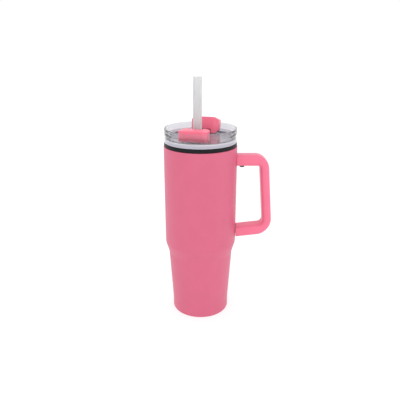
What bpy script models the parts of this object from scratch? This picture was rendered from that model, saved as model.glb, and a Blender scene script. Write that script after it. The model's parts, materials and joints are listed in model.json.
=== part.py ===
"""Insulated tumbler with a side handle, a clear two-flap lid and a straw.

A vacuum-walled steel cup with a narrow foot stands on the world origin, +Z up, with its handle towards +X.
The lid is pushed into the mouth and turned a little about Z. In the lid's own axes -Y is the drinking side.
Lengths are in metres. Pieces that touch keep a gap of TOUCH between their faces.
"""

import math

import bmesh
import bpy
from mathutils import Matrix, Vector

MM = 0.001
TOUCH = 0.3 * MM
STEPS = 48

# Steel body
FOOT_RADIUS = 39.6 * MM
WAIST_RADIUS = 44.7 * MM
BARREL_RADIUS = 50.0 * MM
SHOULDER_RADIUS = 49.2 * MM
SHELL_BOTTOM = 0.4 * MM
WAIST_HEIGHT = 87.0 * MM
SHOULDER_HEIGHT = 100.5 * MM
SHELL_TOP = 241.0 * MM
SHELL_WALL = 1.0 * MM
SHELL_LIP_RADIUS = 47.9 * MM
LINER_RADIUS = 45.0 * MM
LINER_WALL = 0.9 * MM
LINER_FLOOR = 8.5 * MM
LINER_FOOT_RADIUS = 35.2 * MM
LINER_WAIST_RADIUS = 39.9 * MM
MOUTH_HEIGHT = 244.6 * MM
PAD_RADIUS = 36.6 * MM
PAD_HEIGHT = 1.9 * MM
PLATE_RADIUS = 38.2 * MM
PLATE_BOTTOM = 3.0 * MM
PLATE_WALL = 0.9 * MM
PORT_RADIUS = 1.6 * MM

# Handle
HANDLE_WIDTH = 22.0 * MM
ARM_HEIGHT = 15.2 * MM
GRIP_THICKNESS = 12.4 * MM
HANDLE_CORNER = 6.0 * MM
UPPER_ARM_HEIGHT = 221.0 * MM
GRIP_TOP_X = 86.9 * MM
GRIP_BOTTOM_X = 93.9 * MM
GRIP_BOTTOM_HEIGHT = 122.1 * MM
LOWER_ARM_HEIGHT = 117.2 * MM
LOWER_ARM_FALL = 1.1 * MM
HANDLE_ROOT_X = 42.0 * MM
UPPER_BEND = 12.0 * MM
LOWER_BEND = 15.0 * MM
SCREW_X = 57.0 * MM
SCREW_RADIUS = 2.0 * MM
SCREW_HEAD_RADIUS = 3.5 * MM
SCREW_HEAD_HEIGHT = 2.8 * MM
SCREW_RECESS = 4.4 * MM
TONGUE_END_X = 70.0 * MM
TONGUE_WIDTH = 11.0 * MM
TONGUE_THICKNESS = 5.0 * MM
SADDLE_WIDTH = 15.0 * MM
SADDLE_HEIGHT = 10.0 * MM
SADDLE_END_X = 52.6 * MM

# Lid
LID_YAW = math.radians(-16.0)
LID_RADIUS = 49.2 * MM
LID_TOP = 265.4 * MM
LID_SKIRT_BOTTOM = 246.6 * MM
LID_WALL = 1.8 * MM
FLOOR_TOP = 251.5 * MM
FLOOR_THICKNESS = 2.0 * MM
FLOOR_RADIUS = 42.6 * MM
PLUG_RADIUS = 43.3 * MM
PLUG_BOTTOM = 229.5 * MM
PLUG_RIB = 1.0 * MM
SEAL_TOP = 238.4 * MM
SEAL_BOTTOM = 231.5 * MM
COLLAR_RADIUS = 49.4 * MM

# Straw
STRAW_OFFSET = 14.6 * MM
STRAW_RADIUS = 5.75 * MM
STRAW_BORE_RADIUS = 4.6 * MM
STRAW_BOTTOM = 13.0 * MM
STRAW_TOP = 334.0 * MM
STRAW_HOLE_RADIUS = 8.2 * MM

# Flaps: each turns about a pin, and its tail is pushed down to lift its free end
HINGE_OFFSET = 26.6 * MM
HINGE_HEIGHT = 262.2 * MM
REAR_FLAP_ANGLE = math.radians(79.0)
FLAP_HALF_WIDTH = 19.2 * MM
FLAP_REACH = 13.3 * MM
FLAP_LIP = 4.0 * MM
FLAP_UNDERCUT = 2.0 * MM
FLAP_TAIL = 9.4 * MM
FLAP_TAIL_CHAMFER = 0.9 * MM
FLAP_TOP = 5.3 * MM
FLAP_DEPTH = 8.9 * MM
FLAP_PLATE = 2.2 * MM
FLAP_WALL = 1.8 * MM
FLAP_FRONT_WALL = 1.2 * MM
FLAP_FLAT_HALF_WIDTH = 11.9 * MM
FLAP_SIDE_DROP = 1.2 * MM
FREE_CORNER = (6.5 * MM, 3.6 * MM)
TAIL_CORNER = (4.6 * MM, 5.4 * MM)
NOTCH_HALF_WIDTH = 9.0 * MM
NOTCH_TOP_EDGE = 2.8 * MM
NOTCH_LOW_EDGE = (4.2 * MM, 3.3 * MM)
HEEL_RADIUS = 5.2 * MM
HEEL_BACK = 1.8 * MM
HEEL_HALF_WIDTH = 12.9 * MM
APRON_INNER = 6.4 * MM
APRON_OUTER = 12.4 * MM
APRON_EDGE = (8.5 * MM, 1.0 * MM)
APRON_BOTTOM = -0.9 * MM
PIN_RADIUS = 1.0 * MM
PIN_HALF_LENGTH = 18.6 * MM
POST_INNER = 13.5 * MM
POST_OUTER = 16.5 * MM
POST_HALF_DEPTH = 2.6 * MM
POST_TOP = 264.4 * MM
POST_CHAMFER = 1.1 * MM
OPENING_OFFSET = 32.4 * MM
OPENING_HALF = (8.0 * MM, 3.0 * MM)
SPOUT_HALF = (9.5 * MM, 4.0 * MM)
SPOUT_TOP = 257.0 * MM
STOPPER_HALF = (9.2 * MM, 3.7 * MM)
STOPPER_NUB_HALF = (7.4 * MM, 2.1 * MM)
STOPPER_NUB_DEPTH = 1.8 * MM


def clear_scene():
    for item in list(bpy.data.objects):
        bpy.data.objects.remove(item)


def collection(name):
    made = bpy.data.collections.new(name)
    bpy.context.scene.collection.children.link(made)
    return made


def material(name, colour, roughness, metallic=0.0, alpha=1.0):
    made = bpy.data.materials.new(name)
    made.use_nodes = True
    shader = made.node_tree.nodes["Principled BSDF"]
    shader.inputs["Base Color"].default_value = (*colour, 1.0)
    shader.inputs["Roughness"].default_value = roughness
    shader.inputs["Metallic"].default_value = metallic
    shader.inputs["Alpha"].default_value = alpha
    return made


def add_object(name, mesh, finish=None, parent=None, place=(0.0, 0.0, 0.0)):
    """Links a mesh as a named sub-part, in the axes of its parent."""
    made = bpy.data.objects.new(name, mesh)
    made.location = place
    made.parent = parent
    PARTS.objects.link(made)
    if finish:
        mesh.materials.append(finish)
    return made


def add_empty(name, place, turn=(0.0, 0.0, 0.0), parent=None):
    made = bpy.data.objects.new(name, None)
    made.location = place
    made.rotation_euler = turn
    made.parent = parent
    PARTS.objects.link(made)
    return made


def as_cutter(tool):
    """Moves a tool that only shapes other pieces out of the parts collection."""
    PARTS.objects.unlink(tool)
    CUTTERS.objects.link(tool)
    tool.hide_render = True
    tool.display_type = "WIRE"


def combine(target, tool, operation):
    step = target.modifiers.new(tool.name, "BOOLEAN")
    step.operation = operation
    step.solver = "EXACT"
    step.object = tool
    as_cutter(tool)


def cut(target, *tools):
    for tool in tools:
        combine(target, tool, "DIFFERENCE")


def join(target, *tools):
    for tool in tools:
        combine(target, tool, "UNION")


def smooth(made, degrees=35.0):
    made.data.shade_smooth()
    made.data.set_sharp_from_angle(angle=math.radians(degrees))


def turned(name, profile, finish, closed=False, parent=None, place=(0.0, 0.0, 0.0)):
    """A turned piece. The profile is (radius, height) points that run down the outer side."""
    mesh = bpy.data.meshes.new(name)
    points = [(radius, 0.0, height) for radius, height in profile]
    edges = [(i, i + 1) for i in range(len(points) - 1)]
    if closed:
        edges.append((len(points) - 1, 0))
    mesh.from_pydata(points, edges, [])
    made = add_object(name, mesh, finish, parent, place)
    spin = made.modifiers.new("Turn", "SCREW")
    spin.angle = math.tau
    spin.steps = STEPS
    spin.render_steps = STEPS
    spin.use_merge_vertices = True
    spin.merge_threshold = 0.00001
    spin.use_smooth_shade = True
    return made


def arc(centre, radius, start, end, count):
    """Points on a circle, from one angle to another in degrees, both ends included."""
    angles = [math.radians(start + (end - start) * i / count) for i in range(count + 1)]
    return [(centre[0] + radius * math.cos(a), centre[1] + radius * math.sin(a)) for a in angles]


def prism(name, outline, low, high, plane="XY", finish=None, parent=None):
    """A flat outline in the XY or YZ plane, drawn out from low to high along the third axis."""
    shape = bmesh.new()
    if plane == "XY":
        corners = [shape.verts.new((a, b, low)) for a, b in outline]
        way = Vector((0.0, 0.0, high - low))
    else:
        corners = [shape.verts.new((low, a, b)) for a, b in outline]
        way = Vector((high - low, 0.0, 0.0))
    face = shape.faces.new(corners)
    drawn = bmesh.ops.extrude_face_region(shape, geom=[face])
    moved = [v for v in drawn["geom"] if isinstance(v, bmesh.types.BMVert)]
    bmesh.ops.translate(shape, verts=moved, vec=way)
    bmesh.ops.recalc_face_normals(shape, faces=shape.faces)
    mesh = bpy.data.meshes.new(name)
    shape.to_mesh(mesh)
    shape.free()
    return add_object(name, mesh, finish, parent)


def box(name, low, high, finish=None, parent=None):
    size = [high[i] - low[i] for i in range(3)]
    middle = [(high[i] + low[i]) / 2 for i in range(3)]
    shape = bmesh.new()
    bmesh.ops.create_cube(shape, size=1.0, matrix=Matrix.Diagonal((*size, 1.0)))
    bmesh.ops.translate(shape, verts=shape.verts, vec=middle)
    mesh = bpy.data.meshes.new(name)
    shape.to_mesh(mesh)
    shape.free()
    return add_object(name, mesh, finish, parent)


def cylinder(name, radius, low, high, finish=None, parent=None, place=(0.0, 0.0), segments=24):
    """An upright cylinder between two heights."""
    shape = bmesh.new()
    bmesh.ops.create_cone(
        shape, cap_ends=True, segments=segments, radius1=radius, radius2=radius, depth=high - low
    )
    bmesh.ops.translate(shape, verts=shape.verts, vec=(place[0], place[1], (low + high) / 2))
    mesh = bpy.data.meshes.new(name)
    shape.to_mesh(mesh)
    shape.free()
    return add_object(name, mesh, finish, parent)


def cross_cylinder(name, radius, half_length, finish=None, parent=None, segments=16):
    """A cylinder along its parent's X axis, centred on the parent."""
    shape = bmesh.new()
    bmesh.ops.create_cone(
        shape, cap_ends=True, segments=segments, radius1=radius, radius2=radius,
        depth=2 * half_length, matrix=Matrix.Rotation(math.pi / 2, 4, "Y"),
    )
    mesh = bpy.data.meshes.new(name)
    shape.to_mesh(mesh)
    shape.free()
    return add_object(name, mesh, finish, parent)


def round_rectangle(half_x, half_y, radius, corner_steps=4):
    """Outline of a rectangle with round corners, centred on the origin."""
    points = []
    for quarter, (sx, sy) in enumerate(((1, 1), (-1, 1), (-1, -1), (1, -1))):
        centre = (sx * (half_x - radius), sy * (half_y - radius))
        points += arc(centre, radius, 90.0 * quarter, 90.0 * quarter + 90.0, corner_steps)
    return points


def shift(outline, across, along):
    return [(x + across, y + along) for x, y in outline]


def loft(name, rings, finish):
    """A closed skin through rings of equal point count, capped at both ends."""
    shape = bmesh.new()
    rows = [[shape.verts.new(point) for point in ring] for ring in rings]
    count = len(rows[0])
    for row, following in zip(rows, rows[1:]):
        for i in range(count):
            j = (i + 1) % count
            shape.faces.new((row[i], row[j], following[j], following[i]))
    shape.faces.new(rows[0])
    shape.faces.new(rows[-1])
    bmesh.ops.recalc_face_normals(shape, faces=shape.faces)
    mesh = bpy.data.meshes.new(name)
    shape.to_mesh(mesh)
    shape.free()
    return add_object(name, mesh, finish)


def shell_outline(inset):
    """Outer side of the steel body, from its top to its foot, moved in by inset."""
    points = [
        (BARREL_RADIUS, SHELL_TOP - 1.0 * MM),
        (BARREL_RADIUS - 0.1 * MM, 205.0 * MM),
        (BARREL_RADIUS - 0.5 * MM, SHOULDER_HEIGHT + 4.5 * MM),
        (BARREL_RADIUS - 0.6 * MM, SHOULDER_HEIGHT + 1.5 * MM),
        (SHOULDER_RADIUS - 0.3 * MM, SHOULDER_HEIGHT - 1.2 * MM),
        (48.0 * MM, SHOULDER_HEIGHT - 4.0 * MM),
        (46.3 * MM, WAIST_HEIGHT + 5.0 * MM),
        (45.1 * MM, WAIST_HEIGHT + 2.0 * MM),
        (WAIST_RADIUS, WAIST_HEIGHT - 1.0 * MM),
        (FOOT_RADIUS + 0.1 * MM, SHELL_BOTTOM + 13.0 * MM),
        (FOOT_RADIUS, SHELL_BOTTOM + 1.2 * MM),
    ]
    return [(radius - inset, height) for radius, height in points]


def outer_shell():
    """Coated outer wall, curled in at the mouth and open at the foot."""
    outside = shell_outline(0.0)
    inside = shell_outline(SHELL_WALL)
    inside[0] = (BARREL_RADIUS - SHELL_WALL, SHELL_TOP - 1.6 * MM)
    mouth = [
        (SHELL_LIP_RADIUS, SHELL_TOP - 0.9 * MM),
        (SHELL_LIP_RADIUS, SHELL_TOP),
        (BARREL_RADIUS - 0.6 * MM, SHELL_TOP),
    ]
    foot = [
        (FOOT_RADIUS - 0.4 * MM, SHELL_BOTTOM + 0.3 * MM),
        (FOOT_RADIUS - 0.8 * MM, SHELL_BOTTOM),
        (FOOT_RADIUS - SHELL_WALL, SHELL_BOTTOM + 0.2 * MM),
    ]
    return turned("outer_shell", mouth + outside + foot + inside[::-1], PINK_COAT, closed=True)


def inner_liner():
    """Bare steel cup with the thick drinking lip that stands above the coated shell."""
    lip = SHELL_LIP_RADIUS - TOUCH
    outer = LINER_RADIUS + LINER_WALL
    foot = LINER_FOOT_RADIUS + LINER_WALL
    inside = [
        (0.0, LINER_FLOOR),
        (LINER_FOOT_RADIUS - 6.0 * MM, LINER_FLOOR),
        (LINER_FOOT_RADIUS - 1.6 * MM, LINER_FLOOR + 1.6 * MM),
        (LINER_FOOT_RADIUS, LINER_FLOOR + 5.5 * MM),
        (LINER_WAIST_RADIUS, WAIST_HEIGHT + 1.5 * MM),
        (LINER_RADIUS, SHOULDER_HEIGHT + 5.5 * MM),
        (LINER_RADIUS, MOUTH_HEIGHT - 0.8 * MM),
    ]
    outside = [
        (LINER_RADIUS + 0.8 * MM, MOUTH_HEIGHT),
        (lip - 0.8 * MM, MOUTH_HEIGHT),
        (lip, MOUTH_HEIGHT - 0.8 * MM),
        (lip, SHELL_TOP - 0.9 * MM),
        (outer, SHELL_TOP - 2.6 * MM),
        (outer, SHOULDER_HEIGHT + 6.0 * MM),
        (LINER_WAIST_RADIUS + LINER_WALL, WAIST_HEIGHT + 1.0 * MM),
        (foot, LINER_FLOOR + 5.0 * MM),
        (foot - 1.6 * MM, LINER_FLOOR + 0.6 * MM),
        (foot - 6.0 * MM, LINER_FLOOR - LINER_WALL),
        (0.0, LINER_FLOOR - LINER_WALL),
    ]
    return turned("inner_liner", inside + outside, BARE_STEEL)


def base_pieces():
    """Pressed plate, sealed evacuation port, getter and anti-slip pad, all inside the foot."""
    rim = PLATE_RADIUS - PLATE_WALL
    plate = [
        (PORT_RADIUS, PLATE_BOTTOM + PLATE_WALL),
        (PLATE_RADIUS - 0.8 * MM, PLATE_BOTTOM + PLATE_WALL),
        (PLATE_RADIUS, PLATE_BOTTOM + 0.2 * MM),
        (PLATE_RADIUS, SHELL_BOTTOM + 0.5 * MM),
        (rim, SHELL_BOTTOM + 0.5 * MM),
        (rim, PLATE_BOTTOM),
        (PORT_RADIUS, PLATE_BOTTOM),
    ]
    turned("base_plate", plate, BARE_STEEL, closed=True)
    pad = [
        (0.0, PAD_HEIGHT),
        (PAD_RADIUS - 0.4 * MM, PAD_HEIGHT),
        (PAD_RADIUS, PAD_HEIGHT - 0.4 * MM),
        (PAD_RADIUS, 0.5 * MM),
        (PAD_RADIUS - 0.5 * MM, 0.0),
        (0.0, 0.0),
    ]
    turned("base_pad", pad, BLACK_SILICONE)
    head = PAD_HEIGHT + TOUCH
    bead = [
        (0.0, PLATE_BOTTOM + PLATE_WALL + 0.8 * MM),
        (PORT_RADIUS - TOUCH, PLATE_BOTTOM + PLATE_WALL + 0.5 * MM),
        (PORT_RADIUS - TOUCH, PLATE_BOTTOM - TOUCH),
        (3.0 * MM, PLATE_BOTTOM - TOUCH),
        (3.0 * MM, head),
        (0.0, head),
    ]
    turned("seal_bead", bead, SOLDER)
    floor = PLATE_BOTTOM + PLATE_WALL + TOUCH
    cylinder("getter", 5.0 * MM, floor, floor + 1.8 * MM, SOLDER, place=(16.0 * MM, 0.0))


def handle_centre_line():
    """Centre of the handle in the XZ plane, from the upper arm's root to the lower arm's root."""
    top = Vector((GRIP_TOP_X, UPPER_ARM_HEIGHT))
    bottom = Vector((GRIP_BOTTOM_X, GRIP_BOTTOM_HEIGHT))
    start = Vector((HANDLE_ROOT_X, UPPER_ARM_HEIGHT))
    end = Vector((HANDLE_ROOT_X, LOWER_ARM_HEIGHT - LOWER_ARM_FALL))
    upper = bend(start, top, bottom, UPPER_BEND, 7)
    lower = bend(top, bottom, end, LOWER_BEND, 8)
    return [start, Vector((60.0 * MM, UPPER_ARM_HEIGHT))] + upper + lower + [end]


def bend(before, corner, after, radius, count):
    """Points of the arc that rounds a corner of the centre line."""
    incoming = (corner - before).normalized()
    outgoing = (after - corner).normalized()
    turn = incoming.angle(outgoing)
    tangent = radius * math.tan(turn / 2)
    start = corner - incoming * tangent
    inward = (outgoing - incoming).normalized()
    centre = corner + inward * (radius / math.cos(turn / 2))
    arm = start - centre
    points = []
    for i in range(count + 1):
        angle = -turn * i / count
        across = arm.x * math.cos(angle) - arm.y * math.sin(angle)
        along = arm.x * math.sin(angle) + arm.y * math.cos(angle)
        points.append(centre + Vector((across, along)))
    return points


def handle_rings(line):
    """Rounded sections square to the centre line, thinner along the grip than on the arms."""
    rings = []
    for i, point in enumerate(line):
        before = line[max(i - 1, 0)]
        after = line[min(i + 1, len(line) - 1)]
        way = (after - before).normalized()
        grip = abs(way.y)
        thickness = ARM_HEIGHT + (GRIP_THICKNESS - ARM_HEIGHT) * grip
        section = round_rectangle(HANDLE_WIDTH / 2, thickness / 2, HANDLE_CORNER - 0.1 * MM, 5)
        side = Vector((-way.y, way.x))
        ring = [(point.x + side.x * b, a, point.y + side.y * b) for a, b in section]
        rings.append(ring)
    return rings


def lug(name, height):
    """Steel saddle welded to the shell, with the tongue that reaches into a handle arm."""
    saddle_low = (48.0 * MM, -SADDLE_WIDTH / 2, height - SADDLE_HEIGHT / 2)
    saddle_high = (SADDLE_END_X, SADDLE_WIDTH / 2, height + SADDLE_HEIGHT / 2)
    made = box(name, saddle_low, saddle_high, BARE_STEEL)
    tongue_low = (51.0 * MM, -TONGUE_WIDTH / 2, height - TONGUE_THICKNESS / 2)
    tongue_high = (TONGUE_END_X, TONGUE_WIDTH / 2, height + TONGUE_THICKNESS / 2)
    join(made, box(name + "_tongue_tool", tongue_low, tongue_high))
    barrel = cylinder(
        name + "_barrel_tool", BARREL_RADIUS + TOUCH, height - 9 * MM, height + 9 * MM, segments=96
    )
    tapped = cylinder(
        name + "_thread_tool", SCREW_RADIUS + TOUCH, height - 9 * MM, height + 9 * MM,
        place=(SCREW_X, 0.0), segments=16,
    )
    cut(made, barrel, tapped)
    return made


def lug_pocket(name, height):
    """Space for a lug inside a handle arm: one tool for its saddle and one for its tongue."""
    tools = []
    for kind, end, width, thickness in (
        ("saddle", SADDLE_END_X, SADDLE_WIDTH, SADDLE_HEIGHT),
        ("tongue", TONGUE_END_X, TONGUE_WIDTH, TONGUE_THICKNESS),
    ):
        side = width / 2 + TOUCH
        rise = thickness / 2 + TOUCH
        low = (HANDLE_ROOT_X, -side, height - rise)
        high = (end + TOUCH, side, height + rise)
        tools.append(box(f"{name}_{kind}_pocket_tool", low, high))
    return tools


def screw(name, arm_bottom, shank_top):
    """Pan-head screw that enters an arm from below."""
    head_top = arm_bottom - TOUCH
    profile = [
        (0.0, shank_top),
        (SCREW_RADIUS - 0.3 * MM, shank_top),
        (SCREW_RADIUS, shank_top - 0.5 * MM),
        (SCREW_RADIUS, head_top),
        (SCREW_HEAD_RADIUS, head_top),
        (SCREW_HEAD_RADIUS, head_top - SCREW_HEAD_HEIGHT + 0.9 * MM),
        (SCREW_HEAD_RADIUS - 0.9 * MM, head_top - SCREW_HEAD_HEIGHT),
        (0.0, head_top - SCREW_HEAD_HEIGHT),
    ]
    made = turned(name, profile, DARK_STEEL, place=(SCREW_X, 0.0, 0.0))
    made.modifiers["Turn"].steps = 20
    made.modifiers["Turn"].render_steps = 20
    socket = cylinder(
        name + "_socket_tool", 1.3 * MM, head_top - SCREW_HEAD_HEIGHT - 1 * MM,
        head_top - SCREW_HEAD_HEIGHT + 1.4 * MM, place=(SCREW_X, 0.0), segments=6,
    )
    cut(made, socket)
    return made


def handle():
    """Moulded handle, its two steel lugs and the screws that hold it to them."""
    upper = UPPER_ARM_HEIGHT
    lower = LOWER_ARM_HEIGHT + 0.6 * MM
    made = loft("handle_body", handle_rings(handle_centre_line()), PINK_PLASTIC)
    barrel = cylinder("handle_barrel_tool", BARREL_RADIUS + TOUCH, 90 * MM, 240 * MM, segments=96)
    cut(made, barrel, *lug_pocket("upper", upper), *lug_pocket("lower", lower))
    for name, height in (("upper", upper), ("lower", lower)):
        lug(name + "_bracket", height)
        shaft = cylinder(
            name + "_screw_hole_tool", SCREW_RADIUS + TOUCH, height - 12 * MM, height + 1 * MM,
            place=(SCREW_X, 0.0), segments=16,
        )
        cut(made, shaft)
    ceiling = lower - SCREW_RECESS
    recess = cylinder(
        "lower_screw_recess_tool", SCREW_HEAD_RADIUS + TOUCH, lower - 12 * MM, ceiling, place=(SCREW_X, 0.0)
    )
    cut(made, recess)
    screw("upper_screw", upper - ARM_HEIGHT / 2, upper + 2.0 * MM)
    screw("lower_screw", ceiling, lower + 2.0 * MM)
    smooth(made)
    return made


def lid_profile():
    """Clear lid: recess floor, sloping recess wall, thin outer wall and the plug below."""
    slope_top = (LID_RADIUS - LID_WALL + 0.3 * MM, LID_TOP - 0.5 * MM)
    inner_skirt = LID_RADIUS - LID_WALL
    floor_bottom = FLOOR_TOP - FLOOR_THICKNESS
    plug_inner = PLUG_RADIUS - 2.0 * MM
    return [
        (0.0, FLOOR_TOP),
        (FLOOR_RADIUS, FLOOR_TOP),
        (FLOOR_RADIUS + 0.6 * MM, FLOOR_TOP + 0.6 * MM),
        slope_top,
        (slope_top[0] + 0.3 * MM, LID_TOP),
        (LID_RADIUS - 0.4 * MM, LID_TOP),
        (LID_RADIUS, LID_TOP - 0.4 * MM),
        (LID_RADIUS, LID_SKIRT_BOTTOM),
        (inner_skirt, LID_SKIRT_BOTTOM),
        (inner_skirt, FLOOR_TOP + 6.6 * MM),
        (FLOOR_RADIUS + 2.4 * MM, FLOOR_TOP + 0.4 * MM),
        (PLUG_RADIUS, floor_bottom - 1.0 * MM),
        (PLUG_RADIUS, SEAL_TOP + 1.8 * MM),
        (PLUG_RADIUS + PLUG_RIB, SEAL_TOP + 1.4 * MM),
        (PLUG_RADIUS + PLUG_RIB, SEAL_TOP + 0.6 * MM),
        (PLUG_RADIUS, SEAL_TOP + 0.4 * MM),
        (PLUG_RADIUS, SEAL_BOTTOM - 0.5 * MM),
        (PLUG_RADIUS + PLUG_RIB, SEAL_BOTTOM - 0.7 * MM),
        (PLUG_RADIUS + 0.6 * MM, PLUG_BOTTOM),
        (plug_inner, PLUG_BOTTOM),
        (plug_inner, floor_bottom - 0.8 * MM),
        (plug_inner - 0.8 * MM, floor_bottom),
        (0.0, floor_bottom),
    ]


def post_outline(centre, base):
    """Side view of a hinge post, chamfered at the top so that the flap's plate can turn over it."""
    half = POST_HALF_DEPTH
    return [
        (centre - half, base),
        (centre + half, base),
        (centre + half, POST_TOP - POST_CHAMFER),
        (centre + half - POST_CHAMFER, POST_TOP),
        (centre - half + POST_CHAMFER, POST_TOP),
        (centre - half, POST_TOP - POST_CHAMFER),
    ]


def opening_tools(side):
    """The raised spout of one opening, the slot through it, and the two posts beside it."""
    name = "front" if side < 0 else "rear"
    centre = side * OPENING_OFFSET
    spout = shift(round_rectangle(*SPOUT_HALF, 3.4 * MM, 3), 0.0, centre)
    slot = shift(round_rectangle(*OPENING_HALF, 2.6 * MM, 3), 0.0, centre)
    base = FLOOR_TOP - 0.6 * MM
    raised = prism(name + "_spout_tool", spout, base, SPOUT_TOP, parent=LID_AXES)
    passage = prism(name + "_slot_tool", slot, FLOOR_TOP - 5 * MM, SPOUT_TOP + 5 * MM, parent=LID_AXES)
    posts = []
    for hand, sign in (("left", -1), ("right", 1)):
        across = sorted((sign * POST_INNER, sign * POST_OUTER))
        outline = post_outline(side * HINGE_OFFSET, base)
        posts.append(prism(f"{name}_{hand}_post_tool", outline, *across, "YZ", parent=LID_AXES))
    return raised, passage, posts


def lid_body():
    made = turned("lid_body", lid_profile(), CLEAR_PLASTIC, parent=LID_AXES)
    passages = []
    for side in (-1, 1):
        raised, passage, posts = opening_tools(side)
        join(made, raised, *posts)
        passages.append(passage)
    straw_hole = cylinder(
        "straw_hole_tool", STRAW_HOLE_RADIUS, FLOOR_TOP - 5 * MM, FLOOR_TOP + 5 * MM,
        parent=LID_AXES, place=(0.0, -STRAW_OFFSET), segments=32,
    )
    vent = cylinder(
        "vent_tool", 1.3 * MM, FLOOR_TOP - 5 * MM, FLOOR_TOP + 5 * MM,
        parent=LID_AXES, place=(0.0, 2.0 * MM), segments=12,
    )
    cut(made, *passages, straw_hole, vent)
    for axes in HINGES:
        bore = cross_cylinder(axes.name + "_bore_tool", PIN_RADIUS + TOUCH, 17.0 * MM, parent=axes)
        cut(made, bore)
    return made


def lid_seals():
    """Black collar over the steel lip, the ribbed ring around the plug, and the straw's grommet."""
    lip = SHELL_LIP_RADIUS
    web = MOUTH_HEIGHT + TOUCH
    top = LID_SKIRT_BOTTOM - TOUCH
    collar = [
        (PLUG_RADIUS + TOUCH, top),
        (COLLAR_RADIUS - 0.5 * MM, top),
        (COLLAR_RADIUS, top - 0.5 * MM),
        (COLLAR_RADIUS, SHELL_TOP + TOUCH + 0.5 * MM),
        (COLLAR_RADIUS - 0.5 * MM, SHELL_TOP + TOUCH),
        (lip, SHELL_TOP + TOUCH),
        (lip, web),
        (PLUG_RADIUS + TOUCH, web),
    ]
    turned("rim_gasket", collar, BLACK_SILICONE, closed=True, parent=LID_AXES)
    root = PLUG_RADIUS + TOUCH
    crest = LINER_RADIUS - TOUCH
    ring = [
        (root, SEAL_TOP),
        (crest - 0.4 * MM, SEAL_TOP),
        (crest, SEAL_TOP - 1.0 * MM),
        (crest - 0.5 * MM, SEAL_TOP - 2.4 * MM),
        (crest - 0.5 * MM, SEAL_BOTTOM + 2.9 * MM),
        (crest, SEAL_BOTTOM + 1.5 * MM),
        (crest - 0.4 * MM, SEAL_BOTTOM),
        (root, SEAL_BOTTOM),
    ]
    turned("plug_seal", ring, CLEAR_SILICONE, closed=True, parent=LID_AXES)
    bore = STRAW_RADIUS + TOUCH
    stem = STRAW_HOLE_RADIUS - TOUCH
    flange = stem + 1.3 * MM
    below = FLOOR_TOP - FLOOR_THICKNESS - TOUCH
    above = FLOOR_TOP + TOUCH
    grommet = [
        (bore, above + 1.2 * MM),
        (flange - 0.4 * MM, above + 1.2 * MM),
        (flange, above + 0.7 * MM),
        (flange, above),
        (stem, above),
        (stem, below),
        (flange, below),
        (flange - 0.6 * MM, below - 1.2 * MM),
        (bore, below - 1.2 * MM),
    ]
    made = turned("straw_grommet", grommet, CLEAR_SILICONE, closed=True, parent=LID_AXES,
                  place=(0.0, -STRAW_OFFSET, 0.0))
    made.modifiers["Turn"].steps = 32
    made.modifiers["Turn"].render_steps = 32


def straw():
    profile = [
        (STRAW_BORE_RADIUS, STRAW_TOP - 0.3 * MM),
        (STRAW_BORE_RADIUS + 0.3 * MM, STRAW_TOP),
        (STRAW_RADIUS - 0.3 * MM, STRAW_TOP),
        (STRAW_RADIUS, STRAW_TOP - 0.3 * MM),
        (STRAW_RADIUS, STRAW_BOTTOM),
        (STRAW_BORE_RADIUS, STRAW_BOTTOM),
    ]
    made = turned("straw", profile, FROSTED_PLASTIC, closed=True, parent=LID_AXES,
                  place=(0.0, -STRAW_OFFSET, 0.0))
    made.modifiers["Turn"].steps = 32
    made.modifiers["Turn"].render_steps = 32


def flap_side_profile():
    """Side view of a flap about its pin: free end at -Y, round heel and thin tail at +Y."""
    heel = arc((0.0, 0.0), FLAP_DEPTH, -90.0, -5.0, 6)
    return [
        (FLAP_TAIL, FLAP_TOP - FLAP_TAIL_CHAMFER),
        (FLAP_TAIL - FLAP_TAIL_CHAMFER, FLAP_TOP),
        (-FLAP_REACH, FLAP_TOP),
        (-FLAP_REACH, FLAP_TOP - FLAP_LIP),
        (FLAP_UNDERCUT - FLAP_REACH, -FLAP_DEPTH),
    ] + heel + [(FLAP_TAIL, FLAP_TOP - FLAP_PLATE)]


def flap_corner_tools(name, axes):
    """Cuts off the four corners of the flap's plan."""
    tools = []
    far = 25.0 * MM
    spread = 3.0 * MM
    for end, along, corner in (("free", -FLAP_REACH, FREE_CORNER), ("tail", FLAP_TAIL, TAIL_CORNER)):
        way = math.copysign(1.0, along)
        width, length = corner
        slope = length / width
        for hand, sign in (("left", -1), ("right", 1)):
            inner = sign * (FLAP_HALF_WIDTH - width)
            outer = sign * FLAP_HALF_WIDTH
            outline = [
                (inner - sign * spread, along + way * spread * slope),
                (outer + sign * spread, along - way * (length + spread * slope)),
                (outer + sign * spread, along + way * far),
                (inner - sign * spread, along + way * far),
            ]
            tools.append(prism(f"{name}_{end}_{hand}_tool", outline, -far, far, parent=axes))
    return tools


def notch_tool(name, axes):
    """Opens the tail's notch above the ramp and the aprons that slope down from it."""
    far = 25.0 * MM
    fall = (APRON_EDGE[1] - NOTCH_LOW_EDGE[1]) / (APRON_EDGE[0] - NOTCH_LOW_EDGE[0])
    rise = (FLAP_TOP - NOTCH_LOW_EDGE[1]) / (NOTCH_TOP_EDGE - NOTCH_LOW_EDGE[0])
    outline = [
        (NOTCH_TOP_EDGE + MM / rise, FLAP_TOP + MM),
        NOTCH_LOW_EDGE,
        (far, NOTCH_LOW_EDGE[1] + fall * (far - NOTCH_LOW_EDGE[0])),
        (far, far),
        (NOTCH_TOP_EDGE + MM / rise, far),
    ]
    return prism(name + "_notch_tool", outline, -NOTCH_HALF_WIDTH, NOTCH_HALF_WIDTH, "YZ", parent=axes)


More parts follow.
